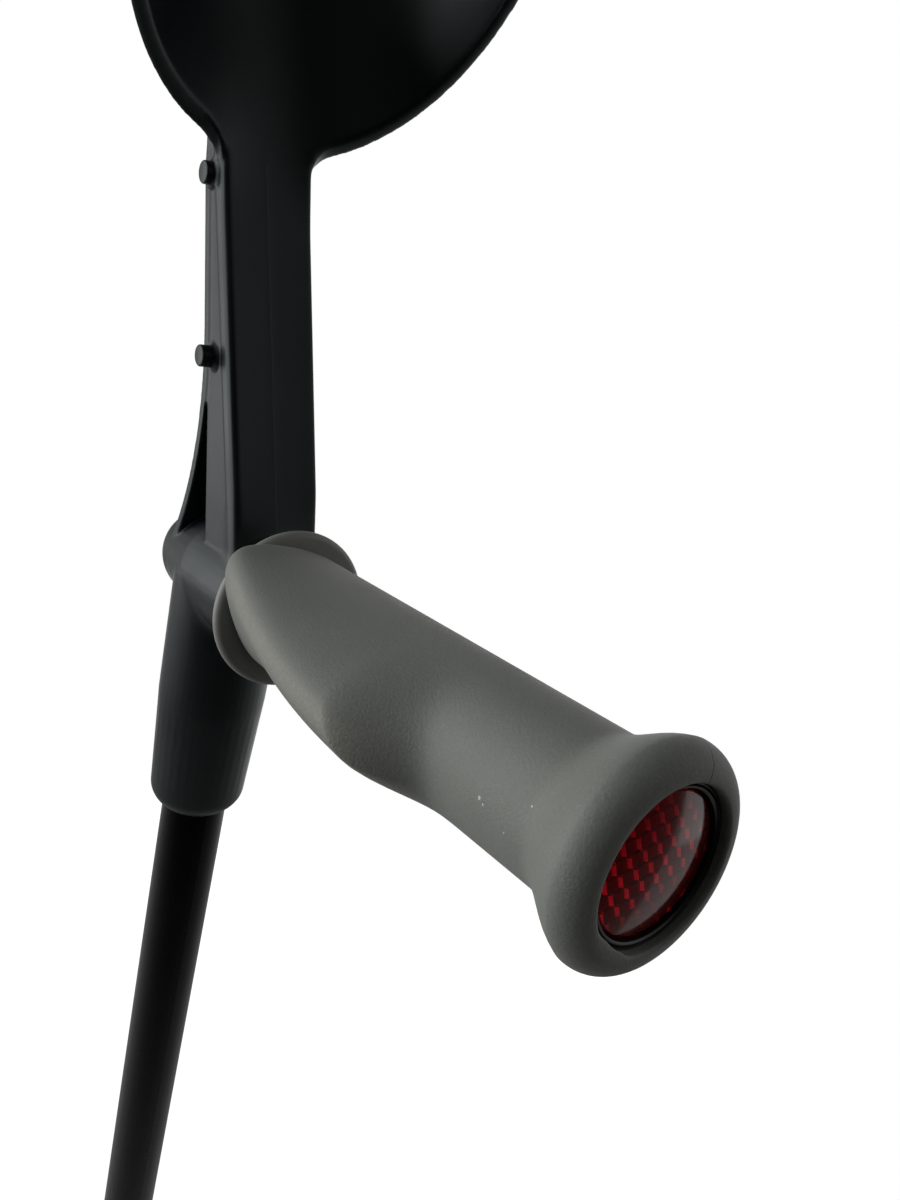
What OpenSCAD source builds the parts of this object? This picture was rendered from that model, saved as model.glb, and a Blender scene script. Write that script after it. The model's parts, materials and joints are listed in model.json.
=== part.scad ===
// Height-adjustable forearm crutch for the right hand.
// One moulding is the open cuff, the stem, the hub, the handle's core and the socket of the leg.
// A soft anatomical handle with a red end reflector sits on the core, and the leg is two tubes with
// a spring button, a lock nut and a rubber foot. X points forward along the handle, Y to the left,
// Z up along the leg, and the floor under the foot is z = 0.

/* [Height] */
// Height above the floor at which the handle's axis crosses the leg
handle_h = 860; // [820:1:900]
// Number of height settings, an odd number
hole_count = 13; // [7:2:13]
// Distance from one setting to the next
hole_pitch = 20; // [16:1:20]

/* [Leg] */
// Outside diameter of the upper tube
tube_od = 22; // [21:0.5:23]
// Wall of the upper tube
tube_wall = 1.2; // [1:0.1:1.5]
// Length of the upper tube below the socket
tube_show = 420; // [410:1:440]
// Height of the lowest setting hole above the upper tube's end
hole_start = 65; // [50:1:75]
// Wall of the lower tube
lower_wall = 1.2; // [1:0.1:1.5]
// Radial gap between the two tubes
tube_gap = 0.3; // [0.25:0.05:0.5]
// Length of the lower tube above its button
button_depth = 28; // [26:1:34]
// Length of the guide sleeve's head
guide_head = 10; // [6:1:14]
// Length of the guide sleeve inside the lower tube
guide_plug = 14; // [10:1:16]
// Wall of the guide sleeve inside the lower tube
guide_wall = 2; // [1.4:0.1:3]

/* [Button] */
// Diameter of the spring button
button_d = 7; // [6:0.1:7.5]
// Height of the button outside the upper tube
button_proud = 2.2; // [1.5:0.1:3]
// Height of the button's domed end
button_dome = 1.4; // [1:0.1:1.5]
// Width of the shoulder that keeps the button in the tube
button_lip = 1.1; // [0.8:0.1:1.3]
// Thickness of the button's shoulder
button_lip_t = 1.4; // [1:0.1:1.8]
// Thickness of the leaf spring
leaf_t = 0.6; // [0.4:0.1:0.8]
// Width of the leaf spring
leaf_w = 5; // [4:0.5:6]
// Length of the leaf spring below the button
leaf_len = 38; // [30:1:45]
// Length of the leaf spring's end that lies along the tube
leaf_pad = 12; // [8:1:16]

/* [Lock nut] */
// Outside diameter of the lock nut
nut_d = 32; // [31:0.5:36]
// Height of the lock nut
nut_h = 32; // [28:1:38]
// Thickness of the nut's lip round the lower tube
nut_lip = 3; // [2:0.5:4]
// Bevel of the nut's edges
nut_bevel = 1.5; // [0.5:0.1:2]
// Number of finger flutes round the nut
nut_flutes = 12; // [8:1:16]
// Radius of one flute
flute_r = 2.2; // [1.6:0.1:2.4]
// Depth of one flute
flute_deep = 1; // [0.6:0.1:1.4]
// Wall of the collet bush round the upper tube
collet_wall = 1.6; // [1.4:0.1:1.8]
// Length of the collet below the upper tube
collet_nose = 10; // [8:1:14]
// Thickness of the collet's top flange
collet_flange = 3; // [2:0.5:4]
// Thickness of the rubber ring that the nut squeezes onto the lower tube
ring_t = 3; // [2:0.5:4]

/* [Foot] */
// Diameter of the rubber foot on the floor
foot_d = 42; // [38:1:48]
// Height of the rubber foot
foot_h = 52; // [46:1:60]
// Bevel round the floor face
foot_edge = 2; // [1:0.5:3]
// Height of the foot's widest band
foot_band = 7; // [5:0.5:9]
// Height at which the spread foot meets its neck
foot_shoulder = 20; // [16:1:22]
// Rubber under the steel washer
foot_base = 10; // [8:1:12]
// Rubber wall round the lower tube
foot_wall = 4.5; // [3.5:0.5:6]
// Distance between the ribs round the neck
foot_rib_pitch = 8; // [6:1:10]
// Radius of one rib
foot_rib_r = 1.5; // [1:0.1:2]
// Thickness of the steel washer in the foot
foot_washer_t = 1.5; // [1:0.1:2.5]
// Depth of the tread grooves
tread_depth = 2; // [1:0.5:3]
// Width of one tread groove
tread_w = 2; // [1:0.5:3]
// Distance from one tread groove to the next
tread_pitch = 5; // [4:0.5:6]

/* [Socket and hub] */
// Distance from the handle's axis down to the socket's end
socket_drop = 91; // [86:1:100]
// Diameter of the socket at its lower end
socket_d = 32; // [30:0.2:34]
// Diameter of the socket's upper half
socket_top_d = 34.8; // [33:0.2:37]
// Rounding of the socket's lower edge
socket_round = 7; // [4:0.5:9]
// Distance from the handle's axis down to the tube's upper end
tube_stop = 6; // [4:1:10]
// Diameter of the hub along the handle
hub_d = 34.6; // [33:0.2:36]
// Diameter of the dome at the back of the hub
dome_d = 29.4; // [27:0.2:31]
// Reach of the dome behind the leg's axis
hub_back = 32.7; // [31:0.1:36]
// Length of the stiffening plug in the upper tube
plug_len = 34; // [32:1:44]
// Depth of the plug below the tube's upper end
plug_sunk = 4; // [2:1:8]
// Height of the rivet above the socket's end
rivet_at = 52; // [48:1:56]
// Diameter of the socket rivet
rivet_d = 4; // [3:0.2:5]
// Length of the rivet inside the plug
rivet_bite = 5; // [3:0.5:8]
// Diameter of the rivet's head
rivet_head_d = 8; // [7:0.2:9]
// Height of the rivet's head
rivet_head_t = 1.6; // [1.2:0.1:2]
// Depth of the rivet's seat in the socket
rivet_sunk = 1.4; // [1:0.1:1.8]

/* [Handle] */
// Rise of the handle towards the front, in degrees
handle_tilt = 11; // [6:1:14]
// Distance from the leg's axis to the back of the collar
collar_at = 36; // [34:0.5:40]
// Thickness of the collar
collar_t = 3.5; // [3:0.1:5]
// Diameter of the collar
collar_d = 46; // [44:0.5:50]
// Diameter of the handle's core
core_d = 21; // [19:0.5:22]
// Wall of the hard liner under the soft grip
liner_wall = 2.4; // [2:0.1:3]
// Length of the soft grip from the collar to its end
grip_len = 136.8; // [130:0.2:150]
// Diameter of the round part of the grip
grip_d = 34.9; // [34:0.1:38]
// Height of the grip's middle above the handle's axis
grip_lift = 0.4; // [0:0.1:0.8]
// Rounding of the grip's end at the collar
end_round = 3; // [2:0.5:4]
// Diameter of the rim at the end of the grip
rim_d = 46.8; // [45:0.2:50]
// Rounding of the rim's end
rim_round = 6.2; // [5:0.1:6.5]
// Length over which the grip flares out to the rim
flare_len = 14; // [12:1:24]
// Sideways place of the wing's edge at the collar
wing_start = 15.5; // [13:0.5:17]
// Greatest sideways place of the wing's edge
wing_reach = 24.8; // [20:0.2:27]
// Radius of the wing's edge
wing_edge = 6; // [5:0.2:7]
// Height of the wing's edge above the handle's axis, at the collar
wing_rise = 13; // [8:0.5:14]
// Length in which the wing's height falls to about a third
wing_fall = 38; // [30:1:50]
// Distance from the collar at which the wing is widest
wing_peak = 70; // [50:1:72]
// Distance from the collar at which the wing starts to narrow
wing_fades = 77; // [73:1:85]
// Distance from the collar at which the wing has run out
wing_ends = 97; // [95:1:108]

/* [Reflector] */
// Diameter of the red lens
lens_d = 29.2; // [27:0.2:29.6]
// Thickness of the red lens at its edge
lens_t = 3.4; // [2.5:0.1:4]
// Crown of the lens
lens_crown = 1.2; // [0.6:0.1:1.8]
// Depth of the lens edge behind the end of the grip
lens_sunk = 2.6; // [2.2:0.1:4]
// Thickness of the disc behind the lens
back_t = 1.4; // [1:0.1:2]
// Wall of the reflector's housing
cup_wall = 1.6; // [1.2:0.1:1.8]
// Floor of the reflector's housing
cup_floor = 2; // [1.5:0.1:3]
// Depth of the housing's rim behind the end of the grip
cup_sunk = 1.7; // [1.2:0.1:2.2]
// Wall of the liner round the housing
bell_wall = 1.6; // [1.2:0.1:2]
// Floor of the liner behind the housing
bell_floor = 2.4; // [1.6:0.1:3]
// Diameter of the grip screw
screw_d = 5; // [4:0.2:6]
// Length of the grip screw under its head
screw_len = 25; // [20:1:32]
// Diameter of the screw's head
screw_head_d = 9.5; // [8:0.1:11]
// Height of the screw's head
screw_head_h = 2.8; // [2:0.1:3.6]
// Length of the screw's cross slot
slot_len = 5.7; // [4:0.1:7]
// Width of the screw's cross slot
slot_w = 1.1; // [0.8:0.1:1.4]
// Depth of the screw's cross slot
slot_deep = 1.4; // [1:0.1:1.8]
// Diameter of the screw's washer
washer_d = 13.5; // [12:0.5:16]
// Thickness of the screw's washer
washer_t = 1.2; // [0.8:0.1:1.6]
// Liner wall under the washer
seat_t = 3; // [2:0.5:4]

/* [Stem] */
// Lean of the stem backwards from the leg, in degrees
stem_lean = 24; // [22:1:26]
// Distance in front of the leg's axis at which the stem's face starts
stem_x = 33.3; // [31:0.1:35]
// Width of the stem
stem_w = 26.6; // [22:0.2:28]
// Length of the stem that runs up behind the cuff
stem_lap = 16; // [10:1:24]
// Thickness of the rear rib
rib_t = 3; // [2.5:0.1:4]
// Thickness of the web between the stem and its rear rib
web_t = 5; // [4:0.5:8]
// Distance along the stem at which the web starts
web_low = 10; // [6:1:14]
// Distance along the stem at which the web ends
web_high = 75; // [70:1:80]
// Depth of the stem at the lower end of the web
stem_deep = 23; // [21:0.5:25]
// Depth of the stem at the upper end of the web
stem_thin = 14.5; // [13:0.5:16]
// Radius of the hollow back of the stem
back_r = 95; // [90:1:110]
// Distance of the stem's narrowest place behind the leg's axis
back_x = 10.3; // [9:0.1:12]
// Height of that place above the handle's axis
back_z = 42; // [38:1:46]
// Lean of the stem's back above the hollow, in degrees
back_lean = 17.7; // [16:0.1:19]
// Depth of the side faces behind the edges of the front
side_depth = 0.5; // [0.3:0.1:0.8]
// Width of the straight edge between the side faces and the rounding of the front
side_edge = 0.5; // [0.3:0.1:2]
// Rounding of the front's edges
front_round = 3.6; // [2:0.1:4.5]
// Height of the low ridge along the middle of the front
ridge_h = 0.4; // [0.2:0.1:0.8]
// Diameter of the two pegs
peg_d = 6; // [4:0.5:7]
// Reach of the pegs to the side, from the middle of the stem
peg_reach = 16; // [14:0.5:20]
// Height of the pegs' wider feet above the stem's sides
peg_foot = 0.3; // [0.2:0.1:0.8]
// Width of the feet round the pegs
peg_foot_w = 0.7; // [0.4:0.1:1]
// Distance along the stem of the lower peg
peg_low = 75.5; // [70:0.5:80]
// Distance of the lower peg behind the front face
peg_low_in = 9.5; // [8:0.5:11]
// Distance along the stem of the upper peg
peg_high = 123; // [116:0.5:128]
// Distance of the upper peg behind the front face
peg_high_in = 6; // [5:0.5:7]

/* [Cuff] */
// Inside radius of the cuff
cuff_r = 46.5; // [44:0.5:52]
// Wall of the cuff
cuff_wall = 4; // [3:0.1:4.5]
// Distance along the stem at which the cuff starts
cuff_start = 131.4; // [126:0.1:136]
// Slope of the cuff's lower edge, in degrees
cuff_slope = 36; // [32:1:40]
// Reach of the cuff's arms in front of the stem
cuff_reach = 62; // [56:1:68]
// Rounding of the corners between the stem and the cuff's lower edge
corner_round = 10; // [6:0.5:12]
// Rounding of the arms' ends
arm_round = 14; // [10:1:18]
// Slope of the cuff's upper edge, in degrees
cuff_fall = 20; // [12:1:26]

/* [Hidden] */
$fn = 64;

// Clearances
press = 0.05;      // gap of pieces that are pushed together
running = 0.06;    // radial gap of pieces that slide or turn in each other
hole_room = 0.25;  // radial room of the button in a setting hole
loose = 0.3;       // gap of pieces that move past each other
head_room = 0.5;   // radial room round a rivet or a lens
screw_room = 2;    // depth of the screw hole past the screw
over = 1;          // length by which a cut runs past a face
far = 300;         // length that runs past the whole stem and cuff

// Leg
tube_r = tube_od / 2;
tube_ir = tube_r - tube_wall;
lower_r = tube_ir - tube_gap;
lower_ir = lower_r - lower_wall;
socket_z = handle_h - socket_drop;
tube_z = socket_z - tube_show;
tube_top = handle_h - tube_stop;
mid_hole = (hole_count - 1) / 2;
function hole_z(i) = tube_z + hole_start + i * hole_pitch;
button_z = hole_z(mid_hole);
lower_z = foot_base + foot_washer_t;
lower_top = button_z + button_depth;

// Button
button_r = button_d / 2;
button_lip_r = button_r + button_lip;
button_lip_x = sqrt(pow(lower_ir, 2) - pow(button_lip_r, 2)) - loose;
button_foot = button_lip_x - button_lip_t;
button_tip = tube_r + button_proud;

// Lock nut and collet
nut_r = nut_d / 2;
collet_r = tube_r + press + collet_wall;
collet_z = tube_z - collet_nose;
ring_z = collet_z - press - ring_t;
nut_z = ring_z - loose - nut_lip;
flange_z = nut_z + nut_h + loose;

// Socket rivet
rivet_z = socket_z + rivet_at;
rivet_seat = socket_top_d / 2 - rivet_sunk;
rivet_end = tube_ir - rivet_bite;

// Handle, measured along its axis from the leg's axis
core_r = core_d / 2;
liner_r = core_r + press + liner_wall;
grip_at = collar_at + collar_t;
grip_end = grip_at + grip_len;
lens_r = lens_d / 2;
cup_ir = lens_r + head_room;
cup_r = cup_ir + cup_wall;
lens_at = grip_end - lens_sunk - lens_t;
back_at = lens_at - back_t;
cup_at = back_at - cup_floor;
cup_front = grip_end - cup_sunk;
bell_r = cup_r + press + bell_wall;
bell_at = cup_at - bell_floor;
head_at = bell_at - screw_head_h - loose;
washer_at = head_at - press - washer_t;
core_end = washer_at - 2 * press - seat_t;

// Stem and cuff, measured along the stem from its start at the handle's axis
stem_top = cuff_start + stem_lap;
edge_back = ridge_h + front_round + side_edge;
cuff_tip_x = cuff_reach - arm_round;
cuff_tip = cuff_start + cuff_tip_x * tan(cuff_slope) + arm_round / cos(cuff_slope);
cuff_back_x = -cuff_wall - over;
cuff_end = cuff_tip + arm_round / cos(cuff_fall) + (cuff_tip_x - cuff_back_x) * tan(cuff_fall);
// Depth of the cuff's inner face at the sideways place y, and slope of its lower edge there
function cuff_x(y) = cuff_r - sqrt(pow(cuff_r, 2) - y * y);
function edge_slope(y) = atan(tan(cuff_slope) * y / (cuff_r - cuff_x(y)));

module handle_frame() translate([0, 0, handle_h]) rotate([0, -handle_tilt, 0]) children();
module stem_frame() translate([stem_x, 0, handle_h]) rotate([0, -stem_lean, 0]) children();
// The stem's frame in a side view
module stem_line() translate([stem_x, 0]) rotate(stem_lean) children();
// Turns a shape that stands on z = 0 to point along the handle
module along_handle() handle_frame() rotate([0, 90, 0]) children();
// Turns a shape that stands on z = 0 to point backwards from the leg's axis
module backwards(z) translate([0, 0, z]) rotate([0, -90, 0]) children();
// Pushes an outline drawn in x and z out to both sides in y
module side_plate(w) rotate([90, 0, 0]) linear_extrude(w, center = true) children();
// Radius of the ball whose cap has this radius and height
function ball_r(r, h) = (r * r + h * h) / (2 * h);
// Half outline of a cap on y = 0
module cap(r, h) {
    translate([0, h - ball_r(r, h)]) intersection() {
        circle(ball_r(r, h), $fn = 720);
        translate([0, ball_r(r, h) - h]) square([r, h]);
    }
}

// What lies behind the stem: a round hollow, and a straight back above it, both moved forward by d
module stem_back(d) {
    translate([-back_x - back_r, back_z]) {
        circle(back_r + d, $fn = 180);
        rotate(back_lean) translate([-back_r, 0]) square([2 * back_r + d, far]);
    }
}

// Outline of the stem from the side, in x and z from the place where the handle crosses the leg
module stem_outline() {
    difference() {
        intersection() {
            stem_line() translate([-back_r - stem_deep, -stem_x])
                square([back_r + stem_deep, stem_top + stem_x]);
            rotate(handle_tilt) translate([-far, 0]) square([2 * far, far]);
        }
        stem_back(0);
    }
}

// The gap between the stem and its rear rib
module stem_gap() {
    difference() {
        stem_line() polygon([
            [-stem_deep, web_low], [-stem_thin, web_high], [-back_r, web_high], [-back_r, web_low]
        ]);
        stem_back(rib_t);
    }
}

// The side face behind the edge of the front
module stem_side() {
    difference() {
        stem_outline();
        stem_back(rib_t);
        stem_line() translate([-edge_back, -far / 2]) square([edge_back + over, 2 * far]);
    }
}

// Section across the stem: a front with a low ridge in the middle and round edges
module stem_section() {
    side = stem_w / 2;
    flat = side - front_round;
    round_x = -ridge_h - front_round;
    polygon([
        [-far, -side], [round_x, -side], [round_x, -flat], [-ridge_h, -flat], [0, 0],
        [-ridge_h, flat], [round_x, flat], [round_x, side], [-far, side]
    ]);
    for (y = [-flat, flat]) translate([round_x, y]) circle(front_round);
}

module stem() {
    intersection() {
        translate([0, 0, handle_h]) difference() {
            side_plate(stem_w) stem_outline();
            for (y = [-1, 1]) translate([0, y * stem_w / 2, 0]) {
                side_plate(stem_w - web_t) stem_gap();
                side_plate(2 * side_depth) stem_side();
            }
        }
        stem_frame() translate([0, 0, -far]) linear_extrude(2 * far) stem_section();
    }
    stem_frame() for (p = [[peg_low_in, peg_low], [peg_high_in, peg_high]])
        translate([-p[0], 0, p[1]]) rotate([90, 0, 0]) {
            cylinder(d = peg_d, h = peg_reach);
            cylinder(d = peg_d + 2 * peg_foot_w, h = stem_w / 2 + peg_foot);
        }
}

// Outline of the cuff from the side: a sloping lower edge, a round end and a falling upper edge
module cuff_outline() {
    inside = arm_round - press;
    translate([cuff_tip_x, cuff_tip]) circle(arm_round);
    polygon([
        [cuff_back_x, cuff_start + cuff_back_x * tan(cuff_slope)],
        [cuff_tip_x + inside * sin(cuff_slope), cuff_tip - inside * cos(cuff_slope)],
        [cuff_tip_x + inside * sin(cuff_fall), cuff_tip + inside * cos(cuff_fall)],
        [cuff_back_x, cuff_end]
    ]);
}

module cuff_shell() {
    translate([cuff_r, 0, 0]) difference() {
        cylinder(r = cuff_r + cuff_wall, h = far, $fn = 128);
        translate([0, 0, -over]) cylinder(r = cuff_r, h = far + 2 * over, $fn = 128);
    }
}

// Hollow corners between the stem's sides and the cuff's lower edge, level with the stem at their foot
module cuff_corners() {
    side = stem_w / 2;
    lean = edge_slope(side + corner_round / 2);
    meets_y = side + corner_round * (1 - sin(lean));
    meets_s = cuff_start + cuff_x(meets_y) * tan(cuff_slope);
    low = meets_s - corner_round * cos(lean);
    intersection() {
        cuff_shell();
        side_plate(3 * cuff_r) polygon([
            [cuff_back_x, low], [0, low], [cuff_x(meets_y), meets_s], [cuff_back_x, meets_s]
        ]);
        translate([cuff_back_x, 0, 0]) rotate([90, 0, 90]) linear_extrude(cuff_r) for (y = [0, 1])
            mirror([y, 0]) difference() {
                translate([side - over, low]) square([meets_y - side + over, meets_s - low]);
                translate([side + corner_round, low]) circle(corner_round - 2 * press);
            }
    }
}

module cuff() {
    stem_frame() {
        intersection() {
            cuff_shell();
            side_plate(3 * cuff_r) cuff_outline();
        }
        cuff_corners();
    }
}

// Socket with a slight taper in its lower half and a round lower edge
module socket_body() {
    r0 = socket_d / 2;
    r1 = socket_top_d / 2;
    translate([0, 0, socket_z]) rotate_extrude() {
        polygon([
            [0, 0], [r0 - socket_round, 0], [r0, socket_round], [r1, socket_drop / 2],
            [r1, socket_drop], [0, socket_drop]
        ]);
        translate([r0 - socket_round, socket_round]) intersection() {
            circle(socket_round);
            translate([0, -socket_round]) square(socket_round);
        }
    }
}

// Hub along the handle with a domed back, and the handle's core in front of it
module hub() {
    hub_r = hub_d / 2;
    dome_r = dome_d / 2;
    dome_at = dome_r - hub_back;
    hub_front = collar_at - press;
    along_handle() {
        rotate_extrude() {
            polygon([[0, dome_at], [dome_r, dome_at], [hub_r, 0], [hub_r, hub_front], [0, hub_front]]);
            translate([0, dome_at]) intersection() {
                circle(dome_r);
                translate([0, -dome_r]) square(dome_r);
            }
        }
        cylinder(r = core_r, h = core_end);
    }
}

module upper_moulding() {
    color([0.11, 0.12, 0.12]) difference() {
        union() {
            stem();
            cuff();
            socket_body();
            hub();
        }
        translate([0, 0, socket_z - over]) cylinder(r = tube_r + press, h = socket_drop - tube_stop + over);
        rivet_holes();
        along_handle() translate([0, 0, core_end - screw_len - screw_room])
            cylinder(d = screw_d + 2 * press, h = screw_len + screw_room + over);
    }
}

// Hole and head seat of the rivet through the back of the socket, the tube and its plug
module rivet_holes() {
    backwards(rivet_z) {
        cylinder(d = rivet_d + 2 * press, h = socket_top_d);
        translate([0, 0, rivet_seat]) cylinder(r = rivet_head_d / 2 + head_room, h = socket_top_d);
    }
}

module socket_rivet() {
    color([0.6, 0.61, 0.62]) backwards(rivet_z) {
        translate([0, 0, rivet_end]) cylinder(d = rivet_d, h = rivet_seat + press - rivet_end);
        translate([0, 0, rivet_seat + press]) rotate_extrude() cap(rivet_head_d / 2, rivet_head_t);
    }
}

module upper_tube() {
    color([0.05, 0.05, 0.05]) difference() {
        translate([0, 0, tube_z]) cylinder(r = tube_r, h = tube_top - tube_z - press);
        translate([0, 0, tube_z - over]) cylinder(r = tube_ir, h = tube_top - tube_z + 2 * over);
        for (i = [0 : hole_count - 1]) backwards(hole_z(i)) cylinder(r = button_r + hole_room, h = tube_od);
        rivet_holes();
    }
}

module tube_plug() {
    color([0.16, 0.16, 0.17]) difference() {
        translate([0, 0, tube_top - plug_sunk - plug_len]) cylinder(r = tube_ir - press, h = plug_len);
        rivet_holes();
    }
}

// Hard liner: collar at the hub, sleeve on the core, seat for the screw and bell for the reflector
module grip_liner() {
    bead = collar_t / 2;
    bead_at = collar_d / 2 - bead;
    color([0.19, 0.19, 0.185]) along_handle() difference() {
        rotate_extrude($fn = 96) {
            translate([0, collar_at]) square([bead_at, collar_t]);
            translate([bead_at, collar_at + bead]) circle(bead);
            translate([0, collar_at]) square([liner_r, cup_at - collar_at]);
            translate([0, bell_at]) square([bell_r, cup_front - bell_at]);
        }
        translate([0, 0, collar_at - over])
            cylinder(r = core_r + press, h = core_end + press - collar_at + over);
        translate([0, 0, collar_at]) cylinder(r = screw_d / 2 + loose, h = grip_len);
        translate([0, 0, core_end + press + seat_t]) cylinder(r = washer_d / 2 + loose, h = grip_len);
        translate([0, 0, cup_at - press]) cylinder(r = cup_r + press, h = grip_len);
    }
}

module grip_screw() {
    color([0.7, 0.71, 0.72]) along_handle() translate([0, 0, head_at]) {
        translate([0, 0, -screw_len]) cylinder(d = screw_d, h = screw_len + press);
        difference() {
            cylinder(d = screw_head_d, h = screw_head_h);
            for (a = [0, 90]) rotate(a) translate([0, 0, screw_head_h])
                cube([slot_len, slot_w, 2 * slot_deep], center = true);
        }
    }
}

module grip_washer() {
    color([0.68, 0.69, 0.7]) along_handle() translate([0, 0, washer_at]) difference() {
        cylinder(d = washer_d, h = washer_t);
        translate([0, 0, -over]) cylinder(r = screw_d / 2 + loose, h = washer_t + 2 * over);
    }
}

module reflector_housing() {
    color([0.06, 0.06, 0.065]) along_handle() difference() {
        translate([0, 0, cup_at]) cylinder(r = cup_r, h = cup_front - cup_at);
        translate([0, 0, back_at]) cylinder(r = cup_ir, h = cup_front);
    }
}

module reflector_back() {
    color([0.3, 0.02, 0.03]) along_handle() translate([0, 0, back_at + press])
        cylinder(r = lens_r, h = back_t - 2 * press);
}

module reflector_lens() {
    color([0.6, 0.02, 0.06]) along_handle() translate([0, 0, lens_at]) rotate_extrude($fn = 96) {
        square([lens_r, lens_t]);
        translate([0, lens_t]) cap(lens_r, lens_crown);
    }
}

// Soft grip: each ring is a smooth blend of the round grip and the small circle of the wing's edge
ring_points = 44;
body_rings = 20;
flare_rings = 7;
blend = 14;        // the higher, the closer the blend comes to a stretched skin
wing_left = 0.25;  // share of the wing's reach left inside the round grip where it has run out
flare_at = grip_len - rim_round - flare_len;
function ease(x) = let (u = max(0, min(1, x))) u * u * (3 - 2 * u);
function flare(t) = ease((t - flare_at) / flare_len);
function base_r(t) =
    t > grip_len - rim_round
        ? rim_d / 2 - rim_round + sqrt(max(0, pow(rim_round, 2) - pow(t - grip_len + rim_round, 2)))
        : grip_d / 2 + (rim_d - grip_d) / 2 * flare(t);
function wing_y(t) = -(wing_start + (wing_reach - wing_start) * sin(90 * min(1, t / wing_peak)))
    * (1 - (1 - wing_left) * ease((t - wing_fades) / (wing_ends - wing_fades)));
function wing_z(t) = wing_rise * exp(-t / wing_fall);
function end_inset(t) =
    t < end_round ? end_round - sqrt(pow(end_round, 2) - pow(end_round - t, 2)) : 0;
// Distance of the skin from the axis in the direction a
function reach(t, a) = let (
        round_part = base_r(t) + grip_lift * sin(a) * (1 - flare(t)),
        wing_part = max(1, wing_y(t) * cos(a) + wing_z(t) * sin(a) + wing_edge))
    pow(pow(round_part, blend) + pow(wing_part, blend), 1 / blend) - end_inset(t);
function slope(t, a) = (reach(t, a + 0.5) - reach(t, a - 0.5)) / (PI / 180);
function skin(t, a) = let (h = reach(t, a), d = slope(t, a))
    [grip_at + press + t, h * cos(a) - d * sin(a), h * sin(a) + d * cos(a)];
// Rings stand closer together at the collar and round the rim
grip_steps = concat(
    [for (a = [0 : 30 : 90]) end_round * (1 - cos(a))],
    [for (i = [1 : body_rings]) end_round + (flare_at - end_round) * i / body_rings],
    [for (i = [1 : flare_rings]) flare_at + flare_len * i / flare_rings],
    [for (a = [20 : 20 : 80]) grip_len - rim_round + rim_round * sin(a)],
    [grip_len]);

module grip_skin() {
    n = ring_points;
    last = len(grip_steps) - 1;
    points = [for (t = grip_steps) for (i = [0 : n - 1]) skin(t, 360 * i / n)];
    sides = [for (j = [0 : last - 1]) for (i = [0 : n - 1])
        let (a = j * n + i, b = j * n + (i + 1) % n)
        each [[a, b, b + n], [a, b + n, a + n]]];
    ends = [[for (i = [n - 1 : -1 : 0]) i], [for (i = [0 : n - 1]) last * n + i]];
    polyhedron(points, concat(sides, ends));
}

module grip_sleeve() {
    color([0.34, 0.34, 0.33]) difference() {
        handle_frame() grip_skin();
        along_handle() {
            translate([0, 0, collar_at]) cylinder(r = liner_r + press, h = grip_len);
            translate([0, 0, bell_at - press])
                cylinder(r = bell_r + press, h = cup_front - bell_at + 2 * press);
            translate([0, 0, bell_at]) cylinder(r = cup_r + press, h = grip_len);
        }
    }
}

// Collet bush: a sleeve round the tube's lower end with a flange above and a nose on the lower tube
module collet_bush() {
    color([0.1, 0.1, 0.1]) difference() {
        union() {
            translate([0, 0, collet_z]) cylinder(r = collet_r, h = flange_z + collet_flange - collet_z);
            translate([0, 0, flange_z]) cylinder(r = nut_r - flute_deep, h = collet_flange);
        }
        translate([0, 0, collet_z - over]) cylinder(r = lower_r + running, h = collet_nose + over);
        translate([0, 0, tube_z - press]) cylinder(r = tube_r + press, h = nut_h + nut_lip);
    }
}

// Rubber ring between the collet's nose and the nut's lip
module clamp_ring() {
    color([0.05, 0.05, 0.05]) translate([0, 0, ring_z]) difference() {
        cylinder(r = collet_r - loose, h = ring_t);
        translate([0, 0, -over]) cylinder(r = lower_r + running, h = ring_t + 2 * over);
    }
}

module lock_nut() {
    low = nut_bevel;
    high = nut_h - nut_bevel;
    neck = nut_r - nut_bevel;
    color([0.09, 0.09, 0.09]) translate([0, 0, nut_z]) difference() {
        rotate_extrude() polygon([
            [0, 0], [neck, 0], [nut_r, low], [nut_r, high], [neck, nut_h], [0, nut_h]
        ]);
        translate([0, 0, -over]) cylinder(r = lower_r + loose, h = nut_h + 2 * over);
        translate([0, 0, nut_lip]) cylinder(r = collet_r + running, h = nut_h);
        for (i = [0 : nut_flutes - 1]) rotate(360 * i / nut_flutes)
            translate([nut_r + flute_r - flute_deep, 0, -over]) cylinder(r = flute_r, h = nut_h + 2 * over);
    }
}

module lower_tube() {
    color([0.06, 0.06, 0.06]) difference() {
        translate([0, 0, lower_z]) cylinder(r = lower_r, h = lower_top - lower_z);
        translate([0, 0, lower_z - over]) cylinder(r = lower_ir, h = lower_top);
        backwards(button_z) cylinder(r = button_r + running, h = tube_od);
    }
}

// Head that runs in the upper tube, and a hollow plug in the lower tube
module guide_sleeve() {
    plug_r = lower_ir - press;
    color([0.13, 0.13, 0.14]) difference() {
        union() {
            translate([0, 0, lower_top + press]) cylinder(r = tube_ir - running, h = guide_head);
            translate([0, 0, lower_top - guide_plug]) cylinder(r = plug_r, h = guide_plug + guide_head);
        }
        translate([0, 0, lower_top - guide_plug - over])
            cylinder(r = plug_r - guide_wall, h = guide_plug + guide_head + 2 * over);
    }
}

// Domed pin with a shoulder inside the lower tube, pointing backwards
module spring_button() {
    shaft = button_tip - button_dome - button_foot;
    color([0.75, 0.76, 0.77]) backwards(button_z) rotate_extrude() translate([0, button_foot]) {
        square([button_lip_r, button_lip_t]);
        square([button_r, shaft]);
        translate([0, shaft]) cap(button_r, button_dome);
    }
}

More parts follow.
